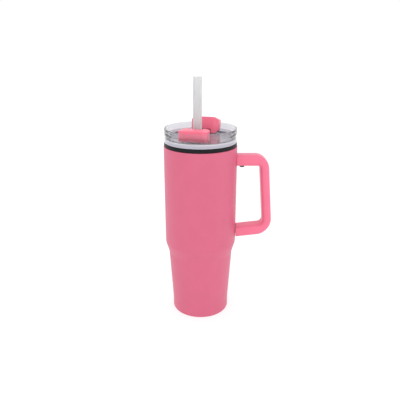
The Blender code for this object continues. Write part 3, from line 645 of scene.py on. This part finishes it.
HINGE = {side: JOINTS[side + "_flap_hinge"] for side in ("front", "rear")}
YAW = math.atan2(-HINGE["front"]["axis"][1], -HINGE["front"]["axis"][0])
REAR_FLAP_ANGLE = math.radians(-79.0)
LID_AXES = Matrix.Rotation(YAW, 4, "Z")
HINGE_AXES = {
    "front": Matrix.Translation(HINGE["front"]["pos_m"]) @ LID_AXES,
    "rear": Matrix.Translation(HINGE["rear"]["pos_m"]) @ LID_AXES @ Matrix.Rotation(math.pi, 4, "Z")
    @ Matrix.Rotation(REAR_FLAP_ANGLE, 4, "X"),
}
HINGE_OFFSET = 26.6 * MM
HINGE_HEIGHT = HINGE["front"]["pos_m"][2]
LID_FLOOR = 251.5 * MM
LID_FLOOR_THICKNESS = 2.0 * MM
LID_FLOOR_RADIUS = 42.6 * MM
LID_RIM_RADIUS = 47.9 * MM
LID_WALL = 1.8 * MM
SKIRT_BOTTOM = 246.6 * MM
PLUG_RADIUS = 43.3 * MM
PLUG_WALL = 2.0 * MM
PLUG_RIB = 1.0 * MM
SPOUT_HALF = (9.5 * MM, 4.0 * MM)
SPOUT_TOP = 257 * MM
OPENING = 32.4 * MM
OPENING_HALF = (8.0 * MM, 3.0 * MM)
POST_INNER = 13.5 * MM
POST_OUTER = 16.5 * MM
POST_HALF_DEPTH = 2.6 * MM
POST_TOP = 264.4 * MM
POST_CHAMFER = 1.1 * MM
PIN_RADIUS = 1.0 * MM
PIN_HALF_LENGTH = 18.6 * MM
PIN_HOLE_RADIUS = 1.3 * MM
STRAW_HOLE_RADIUS = 8.2 * MM
STRAW_OFFSET = 14.6 * MM
VENT_RADIUS = 1.3 * MM
VENT_OFFSET = 2.0 * MM
SEAL_ROOT_RADIUS = 43.6 * MM
COLLAR_WEB_HEIGHT = 244.9 * MM
GROMMET_BORE_RADIUS = 6.05 * MM
GROMMET_STEM_RADIUS = 7.9 * MM
STRAW_BORE_RADIUS = 4.6 * MM


def lid_profile():
    """Half section of the lid, from the middle of its floor round to the underside."""
    radius = reach("lid_body")
    high = top("lid_body")
    low = bottom("lid_body")
    inner = radius - LID_WALL
    under = LID_FLOOR - LID_FLOOR_THICKNESS
    rib = PLUG_RADIUS + PLUG_RIB
    return [
        (0.0, LID_FLOOR),
        (LID_FLOOR_RADIUS, LID_FLOOR, 1.6 * MM),
        (LID_RIM_RADIUS, high, 0.5 * MM),
        (radius, high, 0.6 * MM),
        (radius, SKIRT_BOTTOM, 0.3 * MM),
        (inner, SKIRT_BOTTOM, 0.2 * MM),
        (inner, LID_FLOOR + 6.6 * MM, 0.3 * MM),
        (45.0 * MM, LID_FLOOR + 0.4 * MM, 0.6 * MM),
        (PLUG_RADIUS, under - 1.0 * MM, 0.8 * MM),
        (PLUG_RADIUS, 240.2 * MM, 0.2 * MM),
        (rib, 239.9 * MM, 0.2 * MM),
        (rib, 239.0 * MM, 0.2 * MM),
        (PLUG_RADIUS, 238.7 * MM, 0.1 * MM),
        (PLUG_RADIUS, 231.1 * MM, 0.1 * MM),
        (rib, 230.8 * MM, 0.2 * MM),
        (rib - 0.4 * MM, low, 0.3 * MM),
        (PLUG_RADIUS - PLUG_WALL, low, 0.3 * MM),
        (PLUG_RADIUS - PLUG_WALL, under, 1.6 * MM),
        (0.0, under),
    ]


def post_outline(centre, base):
    """Side view of a hinge post, with chamfered and softened top corners."""
    half = POST_HALF_DEPTH
    ridge = half - POST_CHAMFER
    shoulder = POST_TOP - POST_CHAMFER
    return rounded([
        (centre - half, base), (centre + half, base),
        (centre + half, shoulder, 0.6 * MM), (centre + ridge, POST_TOP, 0.6 * MM),
        (centre - ridge, POST_TOP, 0.6 * MM), (centre - half, shoulder, 0.6 * MM),
    ], steps=4)


def lid_body():
    """Clear lid with its two spouts, four hinge posts, the straw hole and the vent."""
    made = turned("clear_lid", rounded(lid_profile(), closed=False, steps=5), 192, closed=False)
    base = LID_FLOOR - 0.6 * MM
    low = LID_FLOOR - 5 * MM
    joins = []
    cuts = []
    for side in (-1, 1):
        spout = rectangle(*SPOUT_HALF, 3.4 * MM, side * OPENING)
        joins.append(prism(f"spout_{side}_tool", spout, base, SPOUT_TOP))
        slot = rectangle(*OPENING_HALF, 2.6 * MM, side * OPENING)
        cuts.append(prism(f"slot_{side}_tool", slot, low, SPOUT_TOP + 5 * MM))
        joins += pair(f"post_{side}", post_outline(side * HINGE_OFFSET, base), POST_INNER, POST_OUTER)
        pin_hole = rod(f"pin_hole_{side}_tool", PIN_HOLE_RADIUS, 17 * MM, 32, 0.0)
        pin_hole.data.transform(Matrix.Translation((0.0, side * HINGE_OFFSET, HINGE_HEIGHT)))
        cuts.append(pin_hole)
    for name, radius, along in (
        ("straw_hole_tool", STRAW_HOLE_RADIUS, -STRAW_OFFSET), ("vent_tool", VENT_RADIUS, VENT_OFFSET),
    ):
        cuts.append(cylinder(name, radius, low, LID_FLOOR + 5 * MM, 64, (0.0, along)))
    boolean(made, "UNION", *joins)
    boolean(made, "DIFFERENCE", *cuts)
    settle(made)
    made.data.transform(LID_AXES)
    dress(made, CLEAR_PLASTIC, "lid", "lid_body")


def lid_collar():
    """Black collar over the steel lip."""
    low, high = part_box("rim_gasket")
    collar = rounded([
        (SEAL_ROOT_RADIUS, high.z, 0.2 * MM), (high.x, high.z, 0.9 * MM), (high.x, low.z, 0.9 * MM),
        (SHELL_LIP_RADIUS, low.z, 0.3 * MM), (SHELL_LIP_RADIUS, COLLAR_WEB_HEIGHT, 0.2 * MM),
        (SEAL_ROOT_RADIUS, COLLAR_WEB_HEIGHT, 0.2 * MM),
    ], steps=6)
    dress(turned("lid_collar", collar, 192), BLACK_SILICONE, "lid", "rim_gasket")


def plug_ring():
    """Milky ring around the plug, with a rib at each edge."""
    low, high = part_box("plug_seal")
    crest = high.x
    groove = crest - 0.6 * MM
    ring = rounded([
        (SEAL_ROOT_RADIUS, high.z), (crest - 0.4 * MM, high.z, 0.3 * MM),
        (crest, high.z - 1.1 * MM, 0.4 * MM),
        (groove, high.z - 2.4 * MM, 0.4 * MM), (groove, low.z + 2.9 * MM, 0.4 * MM),
        (crest, low.z + 1.5 * MM, 0.4 * MM), (crest - 0.4 * MM, low.z, 0.3 * MM), (SEAL_ROOT_RADIUS, low.z),
    ], steps=4)
    dress(turned("plug_ring", ring, 160), MILKY_SILICONE, "lid", "plug_seal")


def grommet_ring():
    """Ring in the straw's hole, with a flange above and below the lid's floor."""
    low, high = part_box("straw_grommet")
    flange = (high.x - low.x) / 2
    bore = GROMMET_BORE_RADIUS
    stem = GROMMET_STEM_RADIUS
    under = LID_FLOOR - LID_FLOOR_THICKNESS - GAP
    over = LID_FLOOR + GAP
    grommet = rounded([
        (bore, high.z, 0.4 * MM), (flange, high.z, 0.7 * MM), (flange, over, 0.1 * MM), (stem, over),
        (stem, under), (flange, under, 0.2 * MM), (flange, low.z, 0.8 * MM), (bore, low.z, 0.3 * MM),
    ], steps=5)
    made = turned("grommet_ring", grommet, 96, place=middle("straw_grommet").xy)
    dress(made, MILKY_SILICONE, "lid", "straw_grommet")


def straw():
    """Frosted tube with softened ends."""
    low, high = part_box("straw")
    radius = (high.x - low.x) / 2
    bore = STRAW_BORE_RADIUS
    profile = rounded([
        (bore, high.z, 0.4 * MM), (radius, high.z, 0.5 * MM), (radius, low.z, 0.4 * MM),
        (bore, low.z, 0.3 * MM),
    ], steps=5)
    made = turned("drinking_straw", profile, 96, place=middle("straw").xy)
    dress(made, FROSTED_PLASTIC, "straw", "straw")


# ---------------------------------------------------------------- flaps

# A flap is built about its pin: free end at -Y, tail at +Y.
REACH = -13.3 * MM
TAIL = 9.4 * MM
HIGH = 5.3 * MM
DEEP = -8.9 * MM
HALF = 19.2 * MM
FAR = 30 * MM
PLATE = 2.2 * MM
CHEEK = 1.8 * MM
LIP = 4 * MM
UNDERCUT = 2 * MM
LIP_WALL = 1.2 * MM
TAIL_CHAMFER = 0.9 * MM
FREE_CORNER = (6.5 * MM, 3.6 * MM)
TAIL_CORNER = (4.6 * MM, 5.4 * MM)
FLAT_HALF_WIDTH = 11.9 * MM
SLOPE_END = 26.5 * MM
SLOPE_DROP = 2.4 * MM
NOTCH_HALF_WIDTH = 9.0 * MM
NOTCH_TOP = (2.1 * MM, 6.3 * MM)
NOTCH_FOOT = (4.2 * MM, 3.3 * MM)
NOTCH_END_HEIGHT = -10.5 * MM
BARREL_RADIUS = 5.2 * MM
BARREL_HALF_LENGTH = 12.9 * MM
BARREL_BACK = 1.8 * MM
APRON_INNER = 6.4 * MM
APRON_OUTER = 12.4 * MM
APRON_TOP = 4.2 * MM
APRON_BOTTOM = -0.9 * MM
STOPPER_TOP = 2.8 * MM
STOPPER_HALF = (9.2 * MM, 3.7 * MM)
NUB_HALF = (7.4 * MM, 2.1 * MM)
NUB_DEPTH = 1.8 * MM
NUB_SHIFT = 0.5 * MM


def flap_plan():
    """Plan of a flap: a rectangle with its four corners cut off."""
    free_x, free_y = FREE_CORNER
    tail_x, tail_y = TAIL_CORNER
    right = [(HALF - free_x, REACH), (HALF, REACH + free_y), (HALF, TAIL - tail_y), (HALF - tail_x, TAIL)]
    corners = right[2:] + [(-x, y) for x, y in reversed(right)] + right[:2]
    return rounded([(x, y, 0.5 * MM) for x, y in corners], steps=4)


def flap_blank(name):
    """Solid form of a flap: cut corners, sloping sides, undercut lip and open notch."""
    side_view = [
        (TAIL, HIGH - TAIL_CHAMFER), (TAIL - TAIL_CHAMFER, HIGH), (REACH, HIGH), (REACH, HIGH - LIP),
        (REACH + UNDERCUT, DEEP),
    ]
    side_view += arc((0.0, 0.0), -DEEP, -90.0, -5.0, 24) + [(TAIL, HIGH - PLATE)]
    made = prism(name, side_view, -HALF, HALF, "YZ")
    boolean(made, "INTERSECT", prism("plan_tool", flap_plan(), -FAR, FAR))
    for hand in (-1, 1):
        wedge = [
            (hand * FLAT_HALF_WIDTH, HIGH), (hand * SLOPE_END, HIGH - SLOPE_DROP),
            (hand * SLOPE_END, FAR), (hand * FLAT_HALF_WIDTH, FAR),
        ]
        tool = prism(f"slope_{hand}_tool", wedge, -FAR, FAR)
        tool.data.transform(Matrix.Rotation(math.pi / 2, 4, "X"))
        boolean(made, "DIFFERENCE", tool)
    notch = [NOTCH_TOP, NOTCH_FOOT, (FAR, NOTCH_END_HEIGHT), (FAR, FAR), (NOTCH_TOP[0], FAR)]
    boolean(made, "DIFFERENCE", prism("notch_tool", notch, -NOTCH_HALF_WIDTH, NOTCH_HALF_WIDTH, "YZ"))
    bevel(made, 0.28 * MM, 3, 16.0)
    settle(made)
    return made


def heel():
    """Half barrel around the pin, and an apron on each side of the straw's gap."""
    barrel = rod("barrel_tool", BARREL_RADIUS, BARREL_HALF_LENGTH, 72, 0.3 * MM)
    boolean(barrel, "DIFFERENCE", block("front_tool", (-FAR, -FAR, -FAR), (FAR, -BARREL_BACK, FAR)))
    settle(barrel)
    outline = rounded([
        (0.0, APRON_TOP), (3.5 * MM, APRON_TOP), (NOTCH_FOOT[0], NOTCH_FOOT[1] - 0.02 * MM),
        (8.5 * MM, 0.98 * MM, 0.3 * MM), (8.8 * MM, APRON_BOTTOM, 0.3 * MM), (0.0, APRON_BOTTOM),
    ], steps=3)
    return [barrel] + pair("apron", outline, APRON_INNER, APRON_OUTER)


def flap(side):
    """Pink rocker cover, hollow underneath, with the barrel that turns on the pin."""
    made = flap_blank(side + "_cover")
    near = (CHEEK - HALF, REACH + UNDERCUT + LIP_WALL, DEEP - 5 * MM)
    far = (HALF - CHEEK, TAIL + 5 * MM, HIGH - PLATE)
    boolean(made, "DIFFERENCE", block("hollow_tool", near, far))
    boolean(made, "UNION", *heel())
    boolean(made, "DIFFERENCE", rod("bore_tool", PIN_HOLE_RADIUS, 25 * MM, 32, 0.0))
    settle(made, 25.0)
    made.data.transform(HINGE_AXES[side])
    dress(made, FLAP_PLASTIC_PAINTED_LIGHTER, side + "_flap", side + "_flap")


def stopper(side):
    """Silicone block under a flap, with the nub that enters the spout."""
    offset = HINGE_OFFSET - OPENING
    seat = SPOUT_TOP + GAP - HINGE_HEIGHT
    pad = rectangle(*STOPPER_HALF, 3.0 * MM, offset)
    made = prism(side + "_stopper_pad", pad, seat, STOPPER_TOP)
    nub = rectangle(*NUB_HALF, 2.0 * MM, offset + NUB_SHIFT)
    boolean(made, "UNION", prism("nub_tool", nub, seat - NUB_DEPTH, seat + MM))
    bevel(made, 0.3 * MM, 3, 40.0)
    settle(made, 40.0)
    made.data.transform(HINGE_AXES[side])
    dress(made, MILKY_SILICONE, side + "_flap", side + "_stopper")


def hinge_pin(side):
    """Steel pin through a flap and its two posts."""
    made = rod(side + "_pin", PIN_RADIUS, PIN_HALF_LENGTH)
    made.data.transform(HINGE_AXES[side])
    dress(made, STEEL_PLAIN, "lid", side + "_hinge_pin")


# ---------------------------------------------------------------- studio

WHITE = (1.0, 1.0, 1.0)
AIM = (0.0, 0.0, 0.15)
FLOOR_HALF = 6.0
FLOOR_THICKNESS = 0.02


def area_light(name, place, size, power):
    """White rectangular lamp aimed at the tumbler, seen by neither the camera nor clear pieces."""
    data = bpy.data.lights.new(name, "AREA")
    data.shape = "RECTANGLE"
    data.size, data.size_y = size
    data.energy = power
    data.color = WHITE
    lamp = bpy.data.objects.new(name, data)
    lamp.location = place
    lamp.visible_camera = False
    lamp.visible_transmission = False
    lamp.rotation_euler = (Vector(AIM) - Vector(place)).to_track_quat("-Z", "Y").to_euler()
    bpy.context.scene.collection.objects.link(lamp)


def studio():
    """White world, three soft lamps and a pale floor that gives off a little light."""
    world = bpy.data.worlds.new("studio")
    world.use_nodes = True
    background = world.node_tree.nodes["Background"]
    background.inputs["Color"].default_value = (*WHITE, 1.0)
    background.inputs["Strength"].default_value = 1.02
    bpy.context.scene.world = world
    area_light("key", (-0.15, -0.95, 0.80), (0.6, 0.9), 1.5)
    area_light("fill", (0.85, -0.55, 0.45), (0.5, 0.9), 0.7)
    area_light("overhead", (0.0, 0.1, 1.2), (1.0, 1.0), 1.2)
    floor = block("floor", (-FLOOR_HALF, -FLOOR_HALF, -FLOOR_THICKNESS), (FLOOR_HALF, FLOOR_HALF, 0.0))
    made = Nodes("pale_floor", Emission_Color=(*WHITE, 1.0), Emission_Strength=0.6)
    made.colours(made.noise(3.0, 2.0), (0.46, 0.46, 0.46), (0.44, 0.44, 0.44))
    made.roughness(made.noise(8.0, 2.0), 0.85, 0.95)
    floor.data.materials.append(made.material)


def camera():
    """Camera in front of the tumbler, looking down by 15 degrees."""
    data = bpy.data.cameras.new("camera")
    data.sensor_width = 36.0
    data.lens = 40.86
    data.shift_y = -0.1
    data.clip_start = 0.01
    made = bpy.data.objects.new("camera", data)
    made.location = (-0.0007, -0.6017, 0.3812)
    made.rotation_euler = (math.radians(75.0), 0.0, 0.0)
    bpy.context.scene.collection.objects.link(made)
    bpy.context.scene.camera = made
    bpy.context.scene.view_settings.view_transform = "Standard"


camera()
studio()
body_shell()
steel_bowl()
pressed_base()
anti_slip_pad()
handle()
for screw_node in ("upper_screw", "lower_screw"):
    pan_head_screw(screw_node)
lid_body()
lid_collar()
plug_ring()
grommet_ring()
straw()
for flap_side in ("front", "rear"):
    flap(flap_side)
    stopper(flap_side)
    hinge_pin(flap_side)
CARRIED = {"upper_bracket": STEEL_PLAIN, "lower_bracket": STEEL_PLAIN, "seal_bead": SOLDER, "getter": SOLDER}
for node, finish in CARRIED.items():
    frame["nodes"][node].data.materials.clear()
    frame["nodes"][node].data.materials.append(finish)
